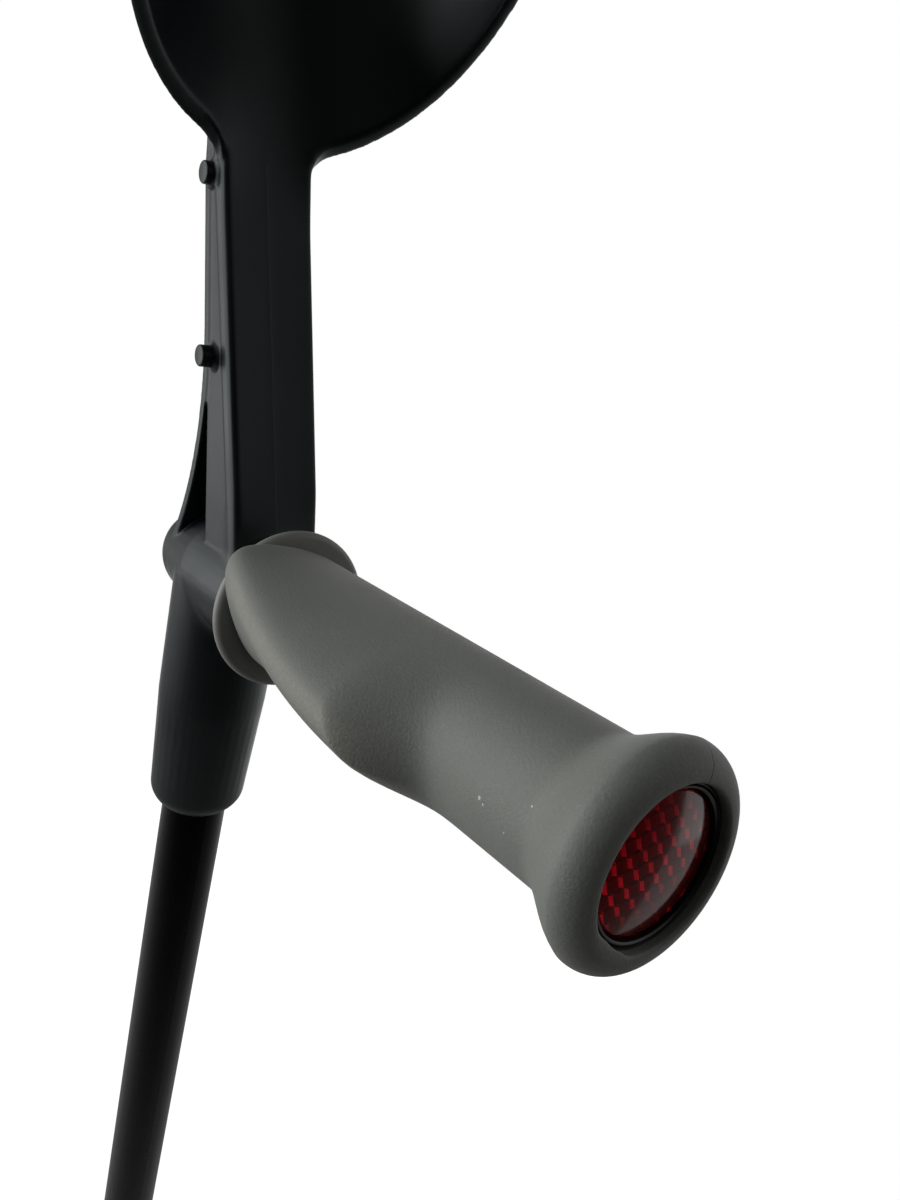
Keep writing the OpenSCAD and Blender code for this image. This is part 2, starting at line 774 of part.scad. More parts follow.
// A strip of the leaf spring between two points of its side view
module leaf(p, q) {
    d = q - p;
    translate(p) rotate(atan2(d.y, d.x)) translate([0, -leaf_t / 2]) square([norm(d), leaf_t]);
    translate(q) circle(d = leaf_t);
}

// Bent leaf spring: one end behind the button, a fold below it and one end on the tube's front
module button_spring() {
    back = -(button_foot - press - leaf_t / 2);
    front = sqrt(pow(lower_ir, 2) - pow(leaf_w / 2, 2)) - loose - leaf_t / 2;
    fold = [0, button_z - leaf_len];
    color([0.62, 0.63, 0.65]) side_plate(leaf_w) {
        leaf([back, button_z + button_r], [back, button_z - button_r]);
        leaf([back, button_z - button_r], fold);
        leaf(fold, [front, button_z - leaf_pad]);
        leaf([front, button_z - leaf_pad], [front, button_z]);
    }
}

// Rubber foot: a ribbed sleeve that spreads to a wide tread with ring grooves
module ferrule() {
    foot_r = foot_d / 2;
    neck_r = lower_r + foot_wall;
    rib_low = foot_shoulder + foot_rib_pitch;
    rib_high = foot_h - foot_edge - foot_rib_r;
    color([0.07, 0.07, 0.07]) difference() {
        rotate_extrude() {
            polygon([
                [0, 0], [foot_r - foot_edge, 0], [foot_r, foot_edge], [foot_r, foot_band],
                [neck_r + foot_rib_r, foot_shoulder], [neck_r, foot_shoulder + foot_edge],
                [neck_r, foot_h - foot_edge / 2], [neck_r - foot_edge / 2, foot_h], [0, foot_h]
            ]);
            for (z = [rib_low : foot_rib_pitch : rib_high]) translate([neck_r, z]) circle(foot_rib_r);
        }
        translate([0, 0, foot_base]) cylinder(r = lower_r + press, h = foot_h);
        for (r = [tread_pitch : tread_pitch : foot_r - foot_edge - tread_w])
            translate([0, 0, -over]) difference() {
                cylinder(r = r + tread_w, h = tread_depth + over);
                translate([0, 0, -over]) cylinder(r = r, h = tread_depth + 3 * over);
            }
    }
}

module ferrule_washer() {
    color([0.6, 0.61, 0.62]) translate([0, 0, foot_base]) cylinder(r = lower_r - press, h = foot_washer_t);
}

upper_moulding();
grip_liner();
grip_sleeve();
grip_screw();
grip_washer();
reflector_housing();
reflector_back();
reflector_lens();
upper_tube();
tube_plug();
socket_rivet();
collet_bush();
clamp_ring();
lock_nut();
lower_tube();
guide_sleeve();
spring_button();
button_spring();
ferrule();
ferrule_washer();
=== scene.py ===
import json
import math
from functools import partial

import bmesh
import bpy
import numpy
from mathutils import Matrix, Vector


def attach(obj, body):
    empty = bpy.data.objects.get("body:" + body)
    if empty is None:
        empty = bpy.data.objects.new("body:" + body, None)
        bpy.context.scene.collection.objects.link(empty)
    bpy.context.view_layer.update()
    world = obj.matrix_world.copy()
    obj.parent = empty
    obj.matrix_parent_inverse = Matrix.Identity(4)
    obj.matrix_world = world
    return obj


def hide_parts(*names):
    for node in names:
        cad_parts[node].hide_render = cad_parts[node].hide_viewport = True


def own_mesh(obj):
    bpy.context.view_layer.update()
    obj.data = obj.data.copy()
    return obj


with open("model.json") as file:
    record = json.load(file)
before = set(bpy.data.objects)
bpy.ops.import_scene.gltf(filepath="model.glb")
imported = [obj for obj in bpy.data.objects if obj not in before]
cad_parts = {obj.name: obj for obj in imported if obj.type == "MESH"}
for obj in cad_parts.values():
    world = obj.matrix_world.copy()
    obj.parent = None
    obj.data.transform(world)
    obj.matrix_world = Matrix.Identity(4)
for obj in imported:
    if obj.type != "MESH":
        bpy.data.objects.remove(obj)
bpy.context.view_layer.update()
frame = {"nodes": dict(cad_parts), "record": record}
mm = 0.001
print("crutch loaded:", len(frame["nodes"]), "nodes")


# The camera stands in front of the handle's end, above it and to its right
photoView = {
    "place": (0.23418, -0.12386, 0.99528),
    "right": (0.5640, 0.7876, 0.2481),
    "down": (0.4960, -0.0829, -0.8643),
    "lens": 27.71,  # mm, on a picture whose long side counts as 36 mm
    "nearest": 5.0,  # mm, what is closer isn't shown
}


def placeCamera(view):
    right = Vector(view["right"]).normalized()
    down = Vector(view["down"]).normalized()
    ahead = right.cross(down)
    camera = bpy.data.objects.new("camera", bpy.data.cameras.new("camera"))
    camera.data.lens = view["lens"]
    camera.data.clip_start = view["nearest"] * mm
    turn = Matrix((right, -down, -ahead)).transposed().to_4x4()
    camera.matrix_world = Matrix.Translation(view["place"]) @ turn
    bpy.context.scene.collection.objects.link(camera)
    bpy.context.scene.camera = camera
    return ahead


ahead = placeCamera(photoView)


# The handle's own frame, from the mount that a hand holds: along the handle, left, and up
def handleFrame():
    mount = next(m for m in frame["record"]["mounts"] if m["name"] == "grip")
    along = Vector(mount["axis"]).normalized()
    left = Vector((0, 1, 0))
    up = along.cross(left)
    turn = Matrix((along, left, up)).transposed().to_4x4()
    middle = Vector(mount["pos_m"])
    return Matrix.Translation(middle - along * (middle.x / along.x)) @ turn


# The stem's own frame, at the foot of its front face: forward, left, and up along the face
stemSize = {"foot": 33.3, "lean": 24.0}  # mm in front of the leg's axis, and degrees


def stemFrame(size):
    foot = Vector((size["foot"] * mm, 0, handle.translation.z))
    return Matrix.Translation(foot) @ Matrix.Rotation(-math.radians(size["lean"]), 4, "Y")


handle = handleFrame()
stem = stemFrame(stemSize)


# Shared helpers for materials
noiseRange = {"From Min": 0.3, "From Max": 0.7}  # where nearly all of a noise lies


def srgb(code):
    parts = [int(code[i:i + 2], 16) / 255 for i in (0, 2, 4)]
    return tuple(c / 12.92 if c <= 0.04045 else ((c + 0.055) / 1.055) ** 2.4 for c in parts) + (1.0,)


def addNode(tree, kind, links=None, **settings):
    node = tree.nodes.new(kind)
    for name, value in settings.items():
        setattr(node, name, value)
    for name, value in (links or {}).items():
        if isinstance(value, bpy.types.NodeSocket):
            tree.links.new(value, node.inputs[name])
        else:
            node.inputs[name].default_value = value
    return node


def newMaterial(name, **constants):
    material = bpy.data.materials.new(name)
    material.use_nodes = True
    shader = material.node_tree.nodes["Principled BSDF"]
    for socket, value in constants.items():
        shader.inputs[socket.replace("_", " ")].default_value = value
    return material, material.node_tree, shader


def wireShader(tree, shader, colour, gloss, bump=None):
    tree.links.new(colour, shader.inputs["Base Color"])
    tree.links.new(gloss.outputs["Result"], shader.inputs["Roughness"])
    if bump:
        tree.links.new(bump.outputs["Normal"], shader.inputs["Normal"])


# Polypropylene, injection moulded in a fine spark-eroded tool: satin black with a cool sheen, faintly
# clouded and grained, with a thin painted highlight down the middle of the stem's front for a shallow
# ridge's glint
paintedRidgeHighlight = {"halfWidth": 0.22, "front": -2.0, "top": 126.0}  # mm in the stem's frame


def mouldedPolypropylene(line):
    material, tree, shader = newMaterial("polypropylene-moulded-black", IOR=1.42,
                                         Specular_Tint=(0.86, 1.0, 1.0, 1.0))
    where = addNode(tree, "ShaderNodeTexCoord").outputs["Object"]
    cloud = addNode(tree, "ShaderNodeTexNoise",
                    {"Vector": where, "Scale": 1 / (22 * mm), "Detail": 4.0, "Roughness": 0.6})
    grain = addNode(tree, "ShaderNodeTexNoise",
                    {"Vector": where, "Scale": 1 / (0.6 * mm), "Detail": 2.0})
    tone = addNode(tree, "ShaderNodeMix", {0: cloud.outputs["Fac"], 6: srgb("0d1012"), 7: srgb("14171a")},
                   data_type="RGBA")
    local = addNode(tree, "ShaderNodeMapping",
                    {"Vector": where, "Location": stem.translation, "Rotation": stem.to_euler()},
                    vector_type="TEXTURE")
    part = addNode(tree, "ShaderNodeSeparateXYZ", {"Vector": local.outputs["Vector"]}).outputs
    # painted highlight: a thin lighter stripe down the middle of the stem's front, the glint of a shallow
    # ridge
    across = addNode(tree, "ShaderNodeMath", {0: part["Y"], 1: 0.0, 2: line["halfWidth"] * mm},
                     operation="COMPARE")
    front = addNode(tree, "ShaderNodeMath", {0: part["X"], 1: line["front"] * mm},
                    operation="GREATER_THAN")
    below = addNode(tree, "ShaderNodeMath", {0: part["Z"], 1: line["top"] * mm}, operation="LESS_THAN")
    onFront = addNode(tree, "ShaderNodeMath", {0: front.outputs["Value"], 1: below.outputs["Value"]},
                      operation="MULTIPLY")
    highlightStripe = addNode(tree, "ShaderNodeMath", {0: across.outputs["Value"], 1: onFront.outputs["Value"]},
                   operation="MULTIPLY")
    faint = addNode(tree, "ShaderNodeMath", {0: highlightStripe.outputs["Value"], 1: cloud.outputs["Fac"]},
                    operation="MULTIPLY")
    # the painted highlight's lighter colour goes in along that stripe
    withHighlight = addNode(tree, "ShaderNodeMix",
                    {0: faint.outputs["Value"], 6: tone.outputs[2], 7: srgb("3a3c3d")}, data_type="RGBA")
    gloss = addNode(tree, "ShaderNodeMapRange",
                    {"Value": cloud.outputs["Fac"], **noiseRange, "To Min": 0.35, "To Max": 0.44})
    bump = addNode(tree, "ShaderNodeBump",
                   {"Height": grain.outputs["Fac"], "Strength": 0.25, "Distance": 0.03 * mm})
    wireShader(tree, shader, withHighlight.outputs[2], gloss, bump)
    return material


# Glass-filled nylon, moulded: hard and satin, faintly clouded; near black in the small fittings, and grey
# in the handle's collar
def satinNylon(name, dark, light, roughness):
    material, tree, shader = newMaterial(name, IOR=1.53)
    where = addNode(tree, "ShaderNodeTexCoord").outputs["Object"]
    cloud = addNode(tree, "ShaderNodeTexNoise",
                    {"Vector": where, "Scale": 1 / (6 * mm), "Detail": 3.0})
    grain = addNode(tree, "ShaderNodeTexNoise",
                    {"Vector": where, "Scale": 1 / (0.4 * mm), "Detail": 2.0})
    tone = addNode(tree, "ShaderNodeMix", {0: cloud.outputs["Fac"], 6: srgb(dark), 7: srgb(light)},
                   data_type="RGBA")
    gloss = addNode(tree, "ShaderNodeMapRange",
                    {"Value": cloud.outputs["Fac"], **noiseRange,
                     "To Min": roughness - 0.05, "To Max": roughness + 0.05})
    bump = addNode(tree, "ShaderNodeBump",
                   {"Height": grain.outputs["Fac"], "Strength": 0.2, "Distance": 0.02 * mm})
    wireShader(tree, shader, tone.outputs[2], gloss, bump)
    return material


# Thermoplastic elastomer over-moulding: matt mid grey, softly clouded and finely speckled; pale and
# yellowish along the wing's edge, a rubbed tint with a painted highlight on it; with flakes of dirt and a
# hairline where the rim has dried out
gripWear = {
    "hairlines": [(70.0, 171.0, 180.0)],  # angle round the handle, from and to along it
    "hairlineWidth": 0.32,
    "hairlineWander": 0.12,  # radians
    "rimRadius": 22.0,
    "flakes": [  # place along the handle, to the left and up, and width
        (144.8, -17.4, 1.8, 0.7), (146.1, -17.4, 1.0, 0.4), (157.2, -16.4, 6.6, 0.4),
        (150.5, -17.0, 3.9, 0.3), (152.6, -17.5, -1.2, 0.35), (161.0, -18.4, 3.0, 0.3),
        (128.0, -15.6, 7.9, 0.3), (166.5, -20.3, -4.6, 0.4),
    ],
    "ragged": 0.8,  # how far a flake's edge wanders
}


def softElastomer(wear):
    material, tree, shader = newMaterial("elastomer-moulded-grey", IOR=1.5,
                                         Sheen_Weight=0.08, Sheen_Roughness=0.5)
    where = addNode(tree, "ShaderNodeTexCoord").outputs["Object"]
    cloud = addNode(tree, "ShaderNodeTexNoise",
                    {"Vector": where, "Scale": 1 / (16 * mm), "Detail": 5.0, "Roughness": 0.55})
    grain = addNode(tree, "ShaderNodeTexNoise",
                    {"Vector": where, "Scale": 1 / (0.6 * mm), "Detail": 3.0, "Roughness": 0.65})
    blotch = addNode(tree, "ShaderNodeTexNoise",
                     {"Vector": where, "Scale": 1 / (0.9 * mm), "Detail": 4.0, "Roughness": 0.75})
    clouded = addNode(tree, "ShaderNodeMix",
                      {0: cloud.outputs["Fac"], 6: srgb("6f726d"), 7: srgb("7c7f79")}, data_type="RGBA")
    speckle = addNode(tree, "ShaderNodeMapRange",
                      {"Value": grain.outputs["Fac"], "From Min": 0.42, "From Max": 0.72,
                       "To Min": 0.0, "To Max": 0.22})
    tone = addNode(tree, "ShaderNodeMix",
                   {0: speckle.outputs["Result"], 6: clouded.outputs[2], 7: srgb("9a9b95")},
                   data_type="RGBA")
    # the "wear" attribute marks the pale strip along the wing's edge: a rubbed, yellowish tint with a
    # painted highlight on it
    rubbed = addNode(tree, "ShaderNodeAttribute", attribute_name="wear").outputs["Fac"]
    spotted = addNode(tree, "ShaderNodeMapRange",
                      {"Value": blotch.outputs["Fac"], "From Min": 0.4, "From Max": 0.65,
                       "To Min": 0.2, "To Max": 0.8})
    paleWearAndHighlight = addNode(tree, "ShaderNodeMath", {0: rubbed, 1: spotted.outputs["Result"]}, operation="MULTIPLY")
    colour = addNode(tree, "ShaderNodeMix",
                     {0: paleWearAndHighlight.outputs["Value"], 6: tone.outputs[2], 7: srgb("8f8d82")},
                     data_type="RGBA").outputs[2]
    local = addNode(tree, "ShaderNodeMapping",
                    {"Vector": where, "Location": handle.translation, "Rotation": handle.to_euler()},
                    vector_type="TEXTURE").outputs["Vector"]
    ragged = wear["ragged"] * mm
    frayed = addNode(tree, "ShaderNodeMath", {0: grain.outputs["Fac"], 1: ragged, 2: -ragged / 2},
                     operation="MULTIPLY_ADD")
    for along, left, up, width in wear["flakes"]:
        far = addNode(tree, "ShaderNodeVectorMath", {0: local, 1: (along * mm, left * mm, up * mm)},
                      operation="DISTANCE").outputs["Value"]
        edge = addNode(tree, "ShaderNodeMath", {0: far, 1: frayed.outputs["Value"]}, operation="ADD")
        flake = addNode(tree, "ShaderNodeMath", {0: edge.outputs["Value"], 1: width / 2 * mm},
                        operation="LESS_THAN")
        colour = addNode(tree, "ShaderNodeMix", {0: flake.outputs["Value"], 6: colour, 7: srgb("c8c8c2")},
                         data_type="RGBA").outputs[2]
    part = addNode(tree, "ShaderNodeSeparateXYZ", {"Vector": local}).outputs
    angle = addNode(tree, "ShaderNodeMath", {0: part["Z"], 1: part["Y"]}, operation="ARCTAN2")
    wander = addNode(tree, "ShaderNodeTexNoise", {"Vector": where, "Scale": 1 / (2.5 * mm), "Detail": 2.0})
    bend = addNode(tree, "ShaderNodeMath",
                   {0: wander.outputs["Fac"], 1: wear["hairlineWander"], 2: angle.outputs["Value"]},
                   operation="MULTIPLY_ADD")
    for degrees, start, end in wear["hairlines"]:
        middle = math.radians(degrees) + wear["hairlineWander"] / 2
        width = wear["hairlineWidth"] / wear["rimRadius"]  # as an angle
        line = addNode(tree, "ShaderNodeMath", {0: bend.outputs["Value"], 1: middle, 2: width / 2},
                       operation="COMPARE")
        after = addNode(tree, "ShaderNodeMath", {0: part["X"], 1: start * mm}, operation="GREATER_THAN")
        before = addNode(tree, "ShaderNodeMath", {0: part["X"], 1: end * mm}, operation="LESS_THAN")
        there = addNode(tree, "ShaderNodeMath", {0: after.outputs["Value"], 1: before.outputs["Value"]},
                        operation="MULTIPLY")
        mask = addNode(tree, "ShaderNodeMath", {0: line.outputs["Value"], 1: there.outputs["Value"]},
                       operation="MULTIPLY")
        colour = addNode(tree, "ShaderNodeMix", {0: mask.outputs["Value"], 6: colour, 7: srgb("1f201e")},
                         data_type="RGBA").outputs[2]
    gloss = addNode(tree, "ShaderNodeMapRange",
                    {"Value": cloud.outputs["Fac"], **noiseRange, "To Min": 0.52, "To Max": 0.64})
    relief = addNode(tree, "ShaderNodeMath",
                     {0: rubbed, 1: blotch.outputs["Fac"], 2: grain.outputs["Fac"]},
                     operation="MULTIPLY_ADD")
    bump = addNode(tree, "ShaderNodeBump",
                   {"Height": relief.outputs["Value"], "Strength": 0.6, "Distance": 0.2 * mm})
    wireShader(tree, shader, colour, gloss, bump)
    return material


# Acrylic, moulded and polished: clear red right through, glossy front, faint polishing haze
def redAcrylic():
    material, tree, shader = newMaterial("acrylic-moulded-red", IOR=1.49, Transmission_Weight=0.9)
    where = addNode(tree, "ShaderNodeTexCoord").outputs["Object"]
    haze = addNode(tree, "ShaderNodeTexNoise", {"Vector": where, "Scale": 1 / (3 * mm), "Detail": 3.0})
    tone = addNode(tree, "ShaderNodeMix", {0: haze.outputs["Fac"], 6: srgb("d0041e"), 7: srgb("e41028")},
                   data_type="RGBA")
    gloss = addNode(tree, "ShaderNodeMapRange",
                    {"Value": haze.outputs["Fac"], **noiseRange, "To Min": 0.07, "To Max": 0.12})
    wireShader(tree, shader, tone.outputs[2], gloss)
    return material


# Polystyrene backing disc, moulded: opaque bright red, which lights up the prisms that let it through
def redBacking():
    material, tree, shader = newMaterial("polystyrene-moulded-red", IOR=1.59)
    where = addNode(tree, "ShaderNodeTexCoord").outputs["Object"]
    cloud = addNode(tree, "ShaderNodeTexNoise", {"Vector": where, "Scale": 1 / (2 * mm), "Detail": 2.0})
    tone = addNode(tree, "ShaderNodeMix", {0: cloud.outputs["Fac"], 6: srgb("c81428"), 7: srgb("e02036")},
                   data_type="RGBA")
    gloss = addNode(tree, "ShaderNodeMapRange",
                    {"Value": cloud.outputs["Fac"], "To Min": 0.3, "To Max": 0.5})
    wireShader(tree, shader, tone.outputs[2], gloss)
    return material


# Aluminium tube, drawn and anodised black: near black with a soft metal sheen and fine draw lines
def anodisedAluminium():
    material, tree, shader = newMaterial("aluminium-anodised-black", Metallic=1.0)
    where = addNode(tree, "ShaderNodeTexCoord").outputs["Object"]
    drawn = addNode(tree, "ShaderNodeMapping", {"Vector": where, "Scale": (1.0, 1.0, 0.012)})
    lines = addNode(tree, "ShaderNodeTexNoise",
                    {"Vector": drawn.outputs["Vector"], "Scale": 1 / (0.5 * mm), "Detail": 2.0})
    rubbed = addNode(tree, "ShaderNodeTexNoise",
                     {"Vector": where, "Scale": 1 / (30 * mm), "Detail": 4.0, "Roughness": 0.65})
    tone = addNode(tree, "ShaderNodeMix", {0: rubbed.outputs["Fac"], 6: srgb("050506"), 7: srgb("0c0c0e")},
                   data_type="RGBA")
    gloss = addNode(tree, "ShaderNodeMapRange",
                    {"Value": lines.outputs["Fac"], **noiseRange, "To Min": 0.24, "To Max": 0.34})
    bump = addNode(tree, "ShaderNodeBump",
                   {"Height": lines.outputs["Fac"], "Strength": 0.12, "Distance": 0.01 * mm})
    wireShader(tree, shader, tone.outputs[2], gloss, bump)
    return material


# Natural rubber, compression moulded: dull black, greyed by floor dust towards the sole
def footRubber():
    material, tree, shader = newMaterial("rubber-moulded-black", IOR=1.52)
    where = addNode(tree, "ShaderNodeTexCoord").outputs["Object"]
    cloud = addNode(tree, "ShaderNodeTexNoise",
                    {"Vector": where, "Scale": 1 / (7 * mm), "Detail": 5.0, "Roughness": 0.65})
    grain = addNode(tree, "ShaderNodeTexNoise", {"Vector": where, "Scale": 1 / (0.7 * mm), "Detail": 3.0})
    height = addNode(tree, "ShaderNodeSeparateXYZ", {"Vector": where}).outputs["Z"]
    low = addNode(tree, "ShaderNodeMapRange",
                  {"Value": height, "From Min": 0.0, "From Max": 26 * mm, "To Min": 0.75, "To Max": 0.0})
    dust = addNode(tree, "ShaderNodeMath", {0: low.outputs["Result"], 1: cloud.outputs["Fac"]},
                   operation="MULTIPLY")
    tone = addNode(tree, "ShaderNodeMix", {0: dust.outputs["Value"], 6: srgb("1d1d1c"), 7: srgb("6d6a64")},
                   data_type="RGBA")
    gloss = addNode(tree, "ShaderNodeMapRange",
                    {"Value": cloud.outputs["Fac"], **noiseRange, "To Min": 0.62, "To Max": 0.78})
    bump = addNode(tree, "ShaderNodeBump",
                   {"Height": grain.outputs["Fac"], "Strength": 0.4, "Distance": 0.08 * mm})
    wireShader(tree, shader, tone.outputs[2], gloss, bump)
    return material


# Steel, zinc plated: pale bluish metal with a slightly uneven satin
def zincSteel():
    material, tree, shader = newMaterial("steel-zinc-plated", Metallic=1.0)
    where = addNode(tree, "ShaderNodeTexCoord").outputs["Object"]
    spangle = addNode(tree, "ShaderNodeTexNoise",
                      {"Vector": where, "Scale": 1 / (1.2 * mm), "Detail": 4.0})
    tone = addNode(tree, "ShaderNodeMix",
                   {0: spangle.outputs["Fac"], 6: srgb("b4b8bd"), 7: srgb("cdd0d2")}, data_type="RGBA")
    gloss = addNode(tree, "ShaderNodeMapRange",
                    {"Value": spangle.outputs["Fac"], **noiseRange, "To Min": 0.22, "To Max": 0.36})
    wireShader(tree, shader, tone.outputs[2], gloss)
    return material


finishes = {
    "black_moulding": mouldedPolypropylene(paintedRidgeHighlight),
    "black_nylon": satinNylon("nylon-moulded-black", "0b0b0c", "121213", 0.4),
    "collar_plastic": satinNylon("nylon-moulded-grey", "848481", "90908d", 0.5),
    "soft_grip": softElastomer(gripWear),
    "red_lens": redAcrylic(),
    "black_tube": anodisedAluminium(),
    "rubber": footRubber(),
    "steel": zincSteel(),
}
print("materials made:", len(finishes))


# Shared helpers for pieces
weldGap = 0.002 * mm  # points closer than this become one


def newObject(name, bm):
    mesh = bpy.data.meshes.new(name)
    bm.to_mesh(mesh)
    bm.free()
    made = bpy.data.objects.new(name, mesh)
    bpy.context.scene.collection.objects.link(made)
    return made


def newPiece(name, bm, body, slot, node):
    piece = newObject(name, bm)
    piece.data.materials.append(finishes[slot])
    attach(piece, body)
    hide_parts(node)
    return piece


def mergedCopy(node):
    bm = bmesh.new()
    bm.from_mesh(frame["nodes"][node].data)
    bmesh.ops.remove_doubles(bm, verts=bm.verts, dist=weldGap)
    return bm


# A profile of radius and place along the handle, turned once round the handle's axis
def spunProfile(profile, steps):
    bm = bmesh.new()
    verts = [bm.verts.new((t * mm, 0, r * mm)) for r, t in profile]
    edges = [bm.edges.new(pair) for pair in zip(verts, verts[1:])]
    bmesh.ops.spin(bm, geom=verts + edges, cent=(0, 0, 0), axis=(1, 0, 0), angle=2 * math.pi,
                   steps=steps, use_merge=True)
    bmesh.ops.remove_doubles(bm, verts=bm.verts, dist=weldGap)  # the ends on the axis become one point
    bmesh.ops.transform(bm, matrix=handle, verts=bm.verts)
    bmesh.ops.recalc_face_normals(bm, faces=bm.faces)
    return bm


def applyModifiers(piece):
    shown = piece.evaluated_get(bpy.context.evaluated_depsgraph_get())
    mesh = bpy.data.meshes.new_from_object(shown)
    piece.modifiers.clear()
    piece.data = mesh


def shadeSmooth(piece, angle):
    piece.data.shade_smooth()
    piece.data.set_sharp_from_angle(angle=math.radians(angle))


def ease(x):
    u = min(1.0, max(0.0, x))
    return u * u * (3 - 2 * u)


# Moulding: the solid's edges are rounded and its junctions flow into each other, as plastic does
moulding = {
    "voxel": 0.4,  # mm
    "edgePasses": 8,  # smoothing that rounds every edge
    "cuffPasses": 60,  # and more of it on the cuff, whose edges are rounder
    "cuffFrom": 126.0, "cuffTo": 134.0,  # distance up the stem over which that sets in
    "fillRounds": 10, "fillPasses": 40,  # smoothing that fills the inner corners
    "blendPasses": 25,  # and evens out where the fillets end
    "triangles": 180000,
    # wide fillets: frame, place in it (forward, left, up), how far they reach, and how strong they are
    "fillets": [
        (handle, (27, 0, 22), 14, 1.0),
        (handle, (27, 11, 19), 12, 0.8),
        (handle, (27, -11, 19), 12, 0.8),
        (handle, (4, -14, -15), 14, 0.9),
        (handle, (4, 14, -15), 14, 0.9),
    ],
    # the stem's face is slightly hollow, rises into the bowl of the cuff, and sweeps out into the cuff's
    # lower edge
    "faceFrom": 12.0, "faceSettles": 40.0, "faceHollow": 0.6,
    "flowFrom": 108.0, "flowTo": 136.0, "flowDeep": 4.0, "flowSunk": 0.05,
    "flowAcross": 60, "flowAlong": 300,
    "cuffEdge": 131.4, "cuffSlope": 0.73, "cornerRound": 6.8, "bowl": 46.5,
    "halfWidth": 13.2, "panelDrop": 1.5, "leftRound": 0.9, "rightRound": 2.3,
    "pegs": [(-9.5, 75.5, 17.6), (-6.0, 123.0, 16.0)],  # forward and up the stem, and reach to the right
    "pegRadius": 3.0, "pegRound": 0.5, "pegSides": 48,
}


def localPoints(points, local):
    turn = numpy.array(local.to_3x3())
    return (points - numpy.array(local.translation)) @ turn / mm


def easeAll(values):
    u = numpy.clip(values, 0.0, 1.0)
    return u * u * (3 - 2 * u)


def vertexValues(mesh, normals=False):
    values = numpy.empty(3 * len(mesh.vertices), dtype=numpy.float32)
    if normals:
        mesh.vertex_normals.foreach_get("vector", values)
    else:
        mesh.vertices.foreach_get("co", values)
    return values.reshape(-1, 3)


# Weights go into the vertex group in a few levels, because one by one they would take too long
def smoothPiece(piece, passes, weights=None, levels=20):
    smooth = piece.modifiers.new("smooth", "SMOOTH")
    smooth.factor = 0.5
    smooth.iterations = passes
    if weights is not None:
        group = piece.vertex_groups.new(name="smooth")
        steps = numpy.ceil(weights * levels)
        for level in range(1, levels + 1):
            group.add(numpy.nonzero(steps == level)[0].tolist(), level / levels, "REPLACE")
        smooth.vertex_group = group.name
    applyModifiers(piece)
    piece.vertex_groups.clear()


def nearness(piece, places):
    points = vertexValues(piece.data)
    weights = numpy.zeros(len(points))
    for local, place, reach, strength in places:
        far = numpy.linalg.norm(localPoints(points, local) - numpy.array(place), axis=1)
        near = easeAll(1.5 * (1 - far / reach))  # full over the inner third of the reach
        weights = numpy.maximum(weights, strength * near)
    return weights


def fillCorners(piece, size):
    weights = nearness(piece, size["fillets"])
    for turn in range(size["fillRounds"]):
        before = vertexValues(piece.data)
        outward = vertexValues(piece.data, normals=True)
        smoothPiece(piece, size["fillPasses"], weights)
        grown = numpy.maximum(0.0, ((vertexValues(piece.data) - before) * outward).sum(axis=1))
        filled = before + outward * grown[:, None]  # outer edges stay where they were
        piece.data.vertices.foreach_set("co", filled.ravel())
        piece.data.update()
    smoothPiece(piece, size["blendPasses"], weights)


# How much of the cuff's bowl the stem's face has at a height: a little from its foot up, all at the cuff
def flowShare(up, size):
    face = size["faceHollow"] * ease((up - size["faceFrom"]) / (size["faceSettles"] - size["faceFrom"]))
    return face + (1 - face) * ease((up - size["flowFrom"]) / (size["cuffEdge"] - size["flowFrom"]))


# Half the face's width at a height: even, then round the corner into the cuff's lower edge
def flowHalf(up, size):
    rise = min(1.0, max(0.0, 1 - (size["cuffEdge"] - up) / size["cornerRound"]))
    return size["halfWidth"] + size["cornerRound"] * (1 - math.sqrt(1 - rise ** 2))


def addFlow(bm, size):
    front = bmesh.ops.create_grid(bm, x_segments=size["flowAcross"], y_segments=size["flowAlong"],
                                  size=1.0)["verts"]
    for vert in front:
        up = size["faceFrom"] + (size["flowTo"] - size["faceFrom"]) * (vert.co.y + 1) / 2
        left = vert.co.x * flowHalf(up, size)
        panel = -size["panelDrop"] * (left / size["halfWidth"]) ** 2
        bowl = size["bowl"] - math.sqrt(size["bowl"] ** 2 - left ** 2)
        forward = panel + (bowl - panel) * flowShare(up, size) - size["flowSunk"]
        vert.co = Vector((forward, left, up))
    grid = set(front)
    faces = [face for face in bm.faces if grid.issuperset(face.verts)]
    made = bmesh.ops.extrude_face_region(bm, geom=faces, use_keep_orig=True)["geom"]
    rear = [part for part in made if isinstance(part, bmesh.types.BMVert)]
    bmesh.ops.translate(bm, vec=(-size["flowDeep"], 0, 0), verts=rear)
    for vert in front:
        corner = size["leftRound"] if vert.co.y > 0 else size["rightRound"]
        over = max(0.0, abs(vert.co.y) - flowHalf(vert.co.z, size) + corner)
        vert.co.x -= corner - math.sqrt(max(0.0, corner ** 2 - over ** 2))
    for vert in front + rear:
        rise = size["cuffSlope"] * vert.co.x  # the cuff's edge rises forward
        vert.co.z += flowShare(vert.co.z, size) * rise
    bmesh.ops.transform(bm, matrix=stem @ Matrix.Scale(mm, 4), verts=front + rear)
    bmesh.ops.recalc_face_normals(bm, faces=bm.faces)


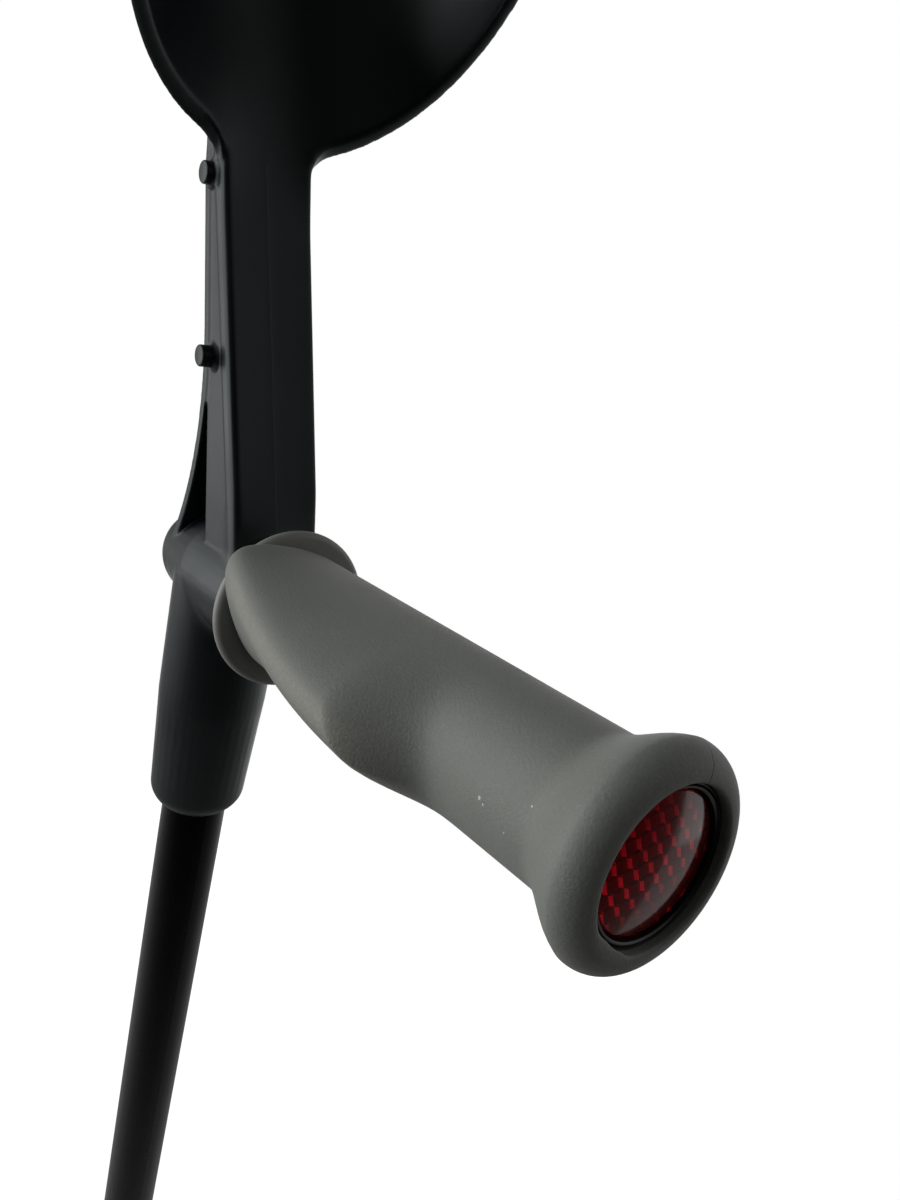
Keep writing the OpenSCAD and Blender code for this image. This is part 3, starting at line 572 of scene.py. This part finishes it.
def addPegs(piece, size):
    bm = bmesh.new()
    radius = size["pegRadius"] * mm
    for forward, high, reach in size["pegs"]:
        made = bmesh.ops.create_cone(bm, cap_ends=True, segments=size["pegSides"], radius1=radius,
                                     radius2=radius, depth=reach * mm)["verts"]
        place = Matrix.Translation(Vector((forward, -reach / 2, high)) * mm)
        turn = Matrix.Rotation(math.radians(90), 4, "X")
        bmesh.ops.transform(bm, matrix=stem @ place @ turn, verts=made)
    ends = [edge for edge in bm.edges if edge.calc_face_angle() > math.radians(60)]
    bmesh.ops.bevel(bm, geom=ends, offset=size["pegRound"] * mm, offset_type="OFFSET", affect="EDGES",
                    segments=3, profile=0.5, material=-1)
    bm.from_mesh(piece.data)
    bm.to_mesh(piece.data)
    bm.free()


def makeMoulding(size):
    bm = mergedCopy("upper_moulding")
    addFlow(bm, size)
    piece = newPiece("moulding", bm, "upper_frame", "black_moulding", "upper_moulding")
    remesh = piece.modifiers.new("remesh", "REMESH")
    remesh.mode = "VOXEL"
    remesh.voxel_size = size["voxel"] * mm
    smoothPiece(piece, size["edgePasses"])  # this applies the remesh too
    height = localPoints(vertexValues(piece.data), stem)[:, 2]
    cuff = easeAll((height - size["cuffFrom"]) / (size["cuffTo"] - size["cuffFrom"]))
    smoothPiece(piece, size["cuffPasses"], cuff)
    fillCorners(piece, size)
    thin = piece.modifiers.new("thin", "DECIMATE")
    thin.ratio = min(1.0, size["triangles"] / (2 * len(piece.data.polygons)))
    applyModifiers(piece)
    addPegs(piece, size)
    shadeSmooth(piece, 60)
    return piece


mouldingPiece = makeMoulding(moulding)
print("moulding:", len(mouldingPiece.data.polygons), "faces")


# Grip: rings along the handle, with a palm wing that fades out, sooner on top than below, and a flared rim
# round the reflector
grip = {
    "start": 39.55, "length": 136.8, "thick": 34.9, "lift": 0.4, "endRound": 3.0,
    "rim": 46.8, "rimRound": 5.85, "flareAt": 117.3, "flare": 14.7,
    "wingStart": 15.5, "wingReach": 25.7, "wingEdge": 6.2, "wingRise": 15.0, "wingFall": 45.0,
    "wingPeak": 70.0, "wingFades": 77.0, "wingEnds": 98.0, "wingLeft": 0.25,
    "topFades": 66.0, "topEnds": 92.0, "turnFrom": 90.0, "turnTo": 260.0,
    "blend": 10.0,  # how tightly the wing joins the barrel
    "mouth": 16.75, "mouthEnd": 135.1, "cupRoom": 18.4, "cupEnd": 124.9, "bore": 13.0,
    # a flap of rubber in the mouth, in degrees round it
    "foldFrom": 203.0, "foldTo": 256.0, "foldSoft": 18.0, "foldDepth": 0.9,
    # where the wing's edge gets its pale strip, a rubbed tint with a painted highlight on it, in degrees
    # round the grip and in mm along it
    "paleEdgeFrom": 130.0, "paleEdgeTo": 205.0, "paleEdgeSoft": 22.0,
    "paleEdgeStarts": 2.0, "paleEdgeEnds": 88.0, "paleEdgeFades": 16.0,
    "rings": 90, "around": 200,
}


def gripRadius(t, size):
    rim, curve = size["rim"] / 2, size["rimRound"]
    past = t - size["length"] + curve
    if past > 0:
        return rim - curve + math.sqrt(max(0.0, curve ** 2 - past ** 2))
    return size["thick"] / 2 + (rim - size["thick"] / 2) * ease((t - size["flareAt"]) / size["flare"])


# How far the outline of a ring reaches in a direction, the further of barrel and wing, blended
def gripReach(t, angle, size):
    out = size["wingStart"] + (size["wingReach"] - size["wingStart"]) * math.sin(
        math.pi / 2 * min(1.0, t / size["wingPeak"]))
    turn = ease((math.degrees(angle) % 360 - size["turnFrom"]) / (size["turnTo"] - size["turnFrom"]))
    fades = size["topFades"] + (size["wingFades"] - size["topFades"]) * turn
    ends = size["topEnds"] + (size["wingEnds"] - size["topEnds"]) * turn
    fade = ease((t - fades) / (ends - fades))
    wingLeft = -out * (1 - (1 - size["wingLeft"]) * fade)
    wingUp = size["wingRise"] * math.exp(-t / size["wingFall"])
    lift = size["lift"] * math.sin(angle) * (1 - ease((t - size["flareAt"]) / size["flare"]))
    barrel = gripRadius(t, size) + lift
    wing = max(1.0, wingLeft * math.cos(angle) + wingUp * math.sin(angle) + size["wingEdge"])
    power = size["blend"]
    return (barrel ** power + wing ** power) ** (1 / power)


# The outline's point that faces a direction, from its reach there and how that changes round the ring
def gripSkin(t, angle, size):
    endRound = size["endRound"]
    inset = endRound - math.sqrt(max(0.0, endRound ** 2 - max(0.0, endRound - t) ** 2))
    step = math.radians(0.5)
    reach = gripReach(t, angle, size) - inset
    slope = (gripReach(t, angle + step, size) - gripReach(t, angle - step, size)) / (2 * step)
    left = reach * math.cos(angle) - slope * math.sin(angle)
    up = reach * math.sin(angle) + slope * math.cos(angle)
    return handle @ (Vector((size["start"] + t, left, up)) * mm)


def window(x, start, end, soft):
    return ease((x - start) / soft) * ease((end - x) / soft)


# the pale strip along the wing's edge: a rubbed tint with a painted highlight on it, fading at its sides
# and ends
def edgeWearAndHighlight(t, angle, size):
    across = window(math.degrees(angle) % 360, size["paleEdgeFrom"], size["paleEdgeTo"], size["paleEdgeSoft"])
    return across * window(t, size["paleEdgeStarts"], size["paleEdgeEnds"], size["paleEdgeFades"])


# A circle is extruded ring by ring, and each place function sets a ring's points by their angle
def growRings(bm, count, places):
    turned = bm.verts.layers.float.new("turned")
    verts = bmesh.ops.create_circle(bm, segments=count, radius=1.0)["verts"]
    edges = list(bm.edges)
    for vert in verts:
        vert[turned] = math.atan2(vert.co.y, vert.co.x)
    for i, place in enumerate(places):
        if i > 0:
            made = bmesh.ops.extrude_edge_only(bm, edges=edges)["geom"]
            verts = [part for part in made if isinstance(part, bmesh.types.BMVert)]
            fresh = set(verts)
            edges = [part for part in made
                     if isinstance(part, bmesh.types.BMEdge) and fresh.issuperset(part.verts)]
        for vert in verts:
            place(vert, vert[turned])
    bm.verts.layers.float.remove(turned)


def makeGrip(size):
    bm = bmesh.new()
    length, rimRound, endRound = size["length"], size["rimRound"], size["endRound"]
    steps = [endRound * (1 - math.cos(math.radians(a))) for a in range(0, 90, 15)]
    body = length - rimRound - endRound
    steps += [endRound + body * i / size["rings"] for i in range(size["rings"])]
    steps += [length - rimRound + rimRound * math.sin(math.radians(a)) for a in range(0, 91, 6)]
    lip = size["rim"] / 2 - rimRound - size["mouth"]
    inside = []  # radius, place along the grip, and share of the fold
    for degrees in range(10, 91, 10):
        a = math.radians(degrees)
        radius = size["mouth"] + lip * (1 - math.sin(a))
        inside.append((radius, length - lip * (1 - math.cos(a)), math.sin(2 * a)))
    inside += [(size["mouth"], size["mouthEnd"], 0), (size["cupRoom"], size["mouthEnd"], 0)]
    inside += [(size["cupRoom"], size["cupEnd"], 0), (size["bore"], size["cupEnd"], 0)]
    inside += [(size["bore"], 0.0, 0)]
    # the pale strip along the wing's edge, rubbed and with a painted highlight, is carried as the "wear"
    # attribute
    wearAndHighlight = bm.verts.layers.float.new("wear")

    def placeSkin(t, vert, angle):
        vert.co = gripSkin(t, angle, size)
        vert[wearAndHighlight] = edgeWearAndHighlight(t, angle, size)

    def placeInside(radius, t, share, vert, angle):
        there = window(math.degrees(angle) % 360, size["foldFrom"], size["foldTo"], size["foldSoft"])
        r = radius - size["foldDepth"] * there * share
        vert.co = handle @ (Vector((size["start"] + t, r * math.cos(angle), r * math.sin(angle))) * mm)
        vert[wearAndHighlight] = 0.0

    places = [partial(placeSkin, t) for t in steps]
    places += [partial(placeInside, *facts) for facts in inside]
    growRings(bm, size["around"], places + places[:1])
    bmesh.ops.remove_doubles(bm, verts=bm.verts, dist=weldGap)  # the last ring meets the first
    bmesh.ops.recalc_face_normals(bm, faces=bm.faces)
    piece = newPiece("soft_grip", bm, "upper_frame", "soft_grip", "grip_sleeve")
    shadeSmooth(piece, 50)
    return piece


gripPiece = makeGrip(grip)
print("grip:", len(gripPiece.data.polygons), "faces")


# Reflector lens: a crowned disc, its back a field of cube corners whose square faces meet at tips and pits
lens = {
    "back": 170.3, "thick": 3.4, "crown": 1.2, "radius": 14.6, "edge": 0.35,
    "pitch": 3.6,  # from one tip to the next
    "turn": 38.0,  # of the field, in degrees
    "flat": 0.11,  # width of the flats along the edges
    "deep": 1.9,  # from tip to pit
    "cells": 22,  # along each side of the field, which is larger than the lens
    "cutBack": 10.0,  # how far the cut goes on behind the field
    "crownRings": 12, "steps": 96,
}


def lensBody(size):
    front = size["back"] + size["thick"]
    inner = size["radius"] - size["edge"]
    ball = (inner ** 2 + size["crown"] ** 2) / (2 * size["crown"])  # radius of the crown's sphere
    profile = [(0.0, size["back"]), (size["radius"], size["back"]), (size["radius"], front - size["edge"])]
    for i in range(size["crownRings"] + 1):
        r = inner * (1 - i / size["crownRings"])
        profile.append((r, front + size["crown"] - ball + math.sqrt(ball ** 2 - r ** 2)))
    return spunProfile(profile, size["steps"])


def prismCutter(size):
    bm = bmesh.new()
    step = size["pitch"] / math.sqrt(3) * mm  # between neighbouring corners of the field
    count = size["cells"]
    bmesh.ops.create_grid(bm, x_segments=count, y_segments=count, size=count / 2 * step)
    for vert in bm.verts:
        level = round(vert.co.x / step) - round(vert.co.y / step)
        vert.co.z = (size["back"] + level % 3 * size["deep"] / 2) * mm
    # to upright triangles, with the height along the handle
    shear = Matrix(((0, 0, 1, 0), (1, 0.5, 0, 0), (0, math.sqrt(3) / 2, 0, 0), (0, 0, 0, 1)))
    turn = Matrix.Rotation(math.radians(size["turn"]), 4, "X")
    bmesh.ops.transform(bm, matrix=turn @ shear, verts=bm.verts)
    bmesh.ops.triangulate(bm, faces=bm.faces, quad_method="SHORT_EDGE")
    bmesh.ops.dissolve_limit(bm, angle_limit=math.radians(2), verts=bm.verts, edges=bm.edges)
    corners = [edge for edge in bm.edges if len(edge.link_faces) == 2]
    bmesh.ops.bevel(bm, geom=corners, offset=size["flat"] * mm, offset_type="OFFSET", affect="EDGES",
                    segments=1, profile=0.5, material=-1)
    made = bmesh.ops.extrude_face_region(bm, geom=bm.faces[:], use_keep_orig=True)["geom"]
    rear = [part for part in made if isinstance(part, bmesh.types.BMVert)]
    bmesh.ops.translate(bm, vec=(-size["cutBack"] * mm, 0, 0), verts=rear)
    bmesh.ops.transform(bm, matrix=handle, verts=bm.verts)
    bmesh.ops.recalc_face_normals(bm, faces=bm.faces)
    return newObject("prism_cutter", bm)


def makeLens(size):
    piece = newPiece("prism_lens", lensBody(size), "upper_frame", "red_lens", "reflector_lens")
    cutter = prismCutter(size)
    mesh = cutter.data
    prisms = piece.modifiers.new("prisms", "BOOLEAN")
    prisms.operation = "DIFFERENCE"
    prisms.object = cutter
    applyModifiers(piece)
    bpy.data.objects.remove(cutter)
    bpy.data.meshes.remove(mesh)
    shadeSmooth(piece, 20)
    return piece


lensPiece = makeLens(lens)
print("lens:", len(lensPiece.data.polygons), "faces")


# Reflector housing: a cup whose rim has a groove and chamfered edges
housing = {
    "back": 166.9, "floor": 168.9, "front": 174.6, "inner": 15.1, "outer": 16.7,
    "edge": 0.3, "grooveAt": 15.9, "grooveWide": 0.5, "grooveDeep": 0.6,
    "steps": 128,
}


def makeHousing(size):
    front, edge = size["front"], size["edge"]
    near = size["grooveAt"] - size["grooveWide"] / 2
    far = size["grooveAt"] + size["grooveWide"] / 2
    profile = [(0.0, size["back"]), (size["outer"], size["back"]), (size["outer"], front - edge),
               (size["outer"] - edge, front), (far, front), (size["grooveAt"], front - size["grooveDeep"]),
               (near, front), (size["inner"] + edge, front), (size["inner"], front - edge),
               (size["inner"], size["floor"]), (0.0, size["floor"])]
    bm = spunProfile(profile, size["steps"])
    piece = newPiece("reflector_cup", bm, "upper_frame", "black_nylon", "reflector_housing")
    shadeSmooth(piece, 30)


makeHousing(housing)
print("reflector housing made")


# Nut and foot: their moulded edges are rounded
roundedEdges = {  # node: piece, body, slot, and how wide the rounding is
    "lock_nut": ("turning_nut", "nut", "black_nylon", 0.5),
    "ferrule": ("rubber_foot", "lower_leg", "rubber", 0.7),
}


def makeRounded(node, name, body, slot, width):
    bm = mergedCopy(node)
    bmesh.ops.dissolve_limit(bm, angle_limit=math.radians(0.5), verts=bm.verts, edges=bm.edges)
    sharp = [edge for edge in bm.edges if edge.is_manifold and edge.calc_face_angle() > math.radians(35)]
    bmesh.ops.bevel(bm, geom=sharp, offset=width * mm, offset_type="OFFSET", affect="EDGES", segments=3,
                    profile=0.5, material=-1, clamp_overlap=True)
    piece = newPiece(name, bm, body, slot, node)
    shadeSmooth(piece, 40)


for node, (name, body, slot, width) in roundedEdges.items():
    makeRounded(node, name, body, slot, width)
print("rounded pieces:", len(roundedEdges))


def makeSpring():
    piece = newPiece("leaf_spring", mergedCopy("button_spring"), "lower_leg", "steel", "button_spring")
    shadeSmooth(piece, 40)
    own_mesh(piece)


makeSpring()
print("leaf spring made")


# The other solids keep their shape and take the finish of their slot
backing = redBacking()
for part in frame["record"]["subparts"]:
    shown = frame["nodes"][part["node"]]
    finish = backing if part["node"] == "reflector_back" else finishes[part["material_slot"]]
    for place in shown.material_slots:
        place.material = finish
print("finishes set")


# Studio: a wide strong lamp on the picture's left, a weak one above the camera, one in front on the right,
# one on the right, and a low card that the lens mirrors; the backdrop is pale, the camera's side dark
studio = {
    "lamps": {  # direction from the handle, distance in metres, width in metres, power in watts
        "key": ((-0.56, -0.82, 0.10), 1.9, 2.4, 42.0),
        "fill": ((0.35, -0.50, 0.79), 1.9, 1.6, 0.8),
        "front": ((0.62, 0.60, 0.50), 1.9, 1.6, 3.1),
        "right": ((0.10, 0.97, 0.15), 1.9, 2.4, 7.0),
        "card": ((0.25, 0.85, -0.45), 1.2, 1.0, 0.6),
    },
    "middle": (0.10, 0.0, 0.89),
    # strength behind the object and on the camera's side, and how far round the one fades into the other
    "backdrop": 0.3, "dark": 0.01, "backdropFades": (-0.9, 0.15),
    "whiteFades": (-0.95, -0.6),  # how far round shiny pieces see the backdrop as white as the eye does
    "overhead": 0.02, "overheadGrows": (0.3, 1.0),
    "floorRadius": 0.9, "floorTone": "b0b0b0",
    "floorGlow": 0.86,  # what the eye sees added to the floor, so that it reads white
    "floorWhitens": (0.3, 0.95),  # share of the radius over which that grows to 1
    "floorMirrored": 0.12,  # share of it that shiny pieces mirror: little, as the photo's tube is black
}


def addLamp(name, direction, distance, width, power):
    lamp = bpy.data.objects.new(name, bpy.data.lights.new(name, "AREA"))
    lamp.data.energy = power
    lamp.data.size = width
    away = Vector(direction).normalized()
    lamp.location = Vector(studio["middle"]) + away * distance
    lamp.rotation_euler = (-away).to_track_quat("-Z", "Y").to_euler()
    lamp.visible_camera = False
    bpy.context.scene.collection.objects.link(lamp)


def lightWorld(size):
    world = bpy.data.worlds.new("studio")
    bpy.context.scene.world = world
    world.use_nodes = True
    tree = world.node_tree
    back = tree.nodes["Background"]
    toward = addNode(tree, "ShaderNodeTexCoord").outputs["Generated"]
    facing = addNode(tree, "ShaderNodeVectorMath", {0: toward, 1: -ahead}, operation="DOT_PRODUCT")
    start, end = size["backdropFades"]
    wall = addNode(tree, "ShaderNodeMapRange",
                   {"Value": facing.outputs["Value"], "From Min": start, "From Max": end,
                    "To Min": size["backdrop"], "To Max": size["dark"]}, interpolation_type="SMOOTHSTEP")
    height = addNode(tree, "ShaderNodeSeparateXYZ", {"Vector": toward}).outputs["Z"]
    start, end = size["overheadGrows"]
    above = addNode(tree, "ShaderNodeMapRange",
                    {"Value": height, "From Min": start, "From Max": end,
                     "To Min": 0.0, "To Max": size["overhead"]}, interpolation_type="SMOOTHSTEP")
    room = addNode(tree, "ShaderNodeMath", {0: wall.outputs["Result"], 1: above.outputs["Result"]},
                   operation="ADD")
    path = addNode(tree, "ShaderNodeLightPath").outputs
    start, end = size["whiteFades"]
    behind = addNode(tree, "ShaderNodeMapRange",
                     {"Value": facing.outputs["Value"], "From Min": start, "From Max": end,
                      "To Min": 1.0, "To Max": 0.0}, interpolation_type="SMOOTHSTEP")
    shiny = addNode(tree, "ShaderNodeMath", {0: path["Is Glossy Ray"], 1: path["Is Transmission Ray"]},
                    operation="MAXIMUM")
    mirrored = addNode(tree, "ShaderNodeMath", {0: shiny.outputs["Value"], 1: behind.outputs["Result"]},
                       operation="MULTIPLY")
    seen = addNode(tree, "ShaderNodeMath", {0: path["Is Camera Ray"], 1: mirrored.outputs["Value"]},
                   operation="MAXIMUM")
    strength = addNode(tree, "ShaderNodeMath", {0: room.outputs["Value"], 1: seen.outputs["Value"]},
                       operation="MAXIMUM")
    back.inputs["Color"].default_value = (1.0, 1.0, 1.0, 1.0)
    tree.links.new(strength.outputs["Value"], back.inputs["Strength"])


def layFloor(size):
    bm = bmesh.new()
    bmesh.ops.create_circle(bm, cap_ends=True, segments=96, radius=size["floorRadius"])
    floor = newObject("floor", bm)
    material, tree, shader = newMaterial("paper-white", Roughness=0.9, Base_Color=srgb(size["floorTone"]),
                                         Emission_Color=(1.0, 1.0, 1.0, 1.0))
    where = addNode(tree, "ShaderNodeTexCoord").outputs["Object"]
    far = addNode(tree, "ShaderNodeVectorMath", {0: where}, operation="LENGTH")
    start, end = size["floorWhitens"]
    glow = addNode(tree, "ShaderNodeMapRange",
                   {"Value": far.outputs["Value"], "From Min": start * size["floorRadius"],
                    "From Max": end * size["floorRadius"], "To Min": size["floorGlow"], "To Max": 1.0})
    path = addNode(tree, "ShaderNodeLightPath").outputs
    mirrored = addNode(tree, "ShaderNodeMath",
                       {0: path["Is Glossy Ray"], 1: size["floorMirrored"],
                        2: path["Is Transmission Ray"]}, operation="MULTIPLY_ADD")
    seen = addNode(tree, "ShaderNodeMath", {0: path["Is Camera Ray"], 1: mirrored.outputs["Value"]},
                   operation="MAXIMUM")
    strength = addNode(tree, "ShaderNodeMath", {0: seen.outputs["Value"], 1: glow.outputs["Result"]},
                       operation="MULTIPLY")
    tree.links.new(strength.outputs["Value"], shader.inputs["Emission Strength"])
    floor.data.materials.append(material)
    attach(floor, "lower_leg")  # the floor stays under the foot when the leg slides


for name, facts in studio["lamps"].items():
    addLamp(name, *facts)
lightWorld(studio)
layFloor(studio)
bpy.context.scene.view_settings.view_transform = "Standard"
print("studio lit")
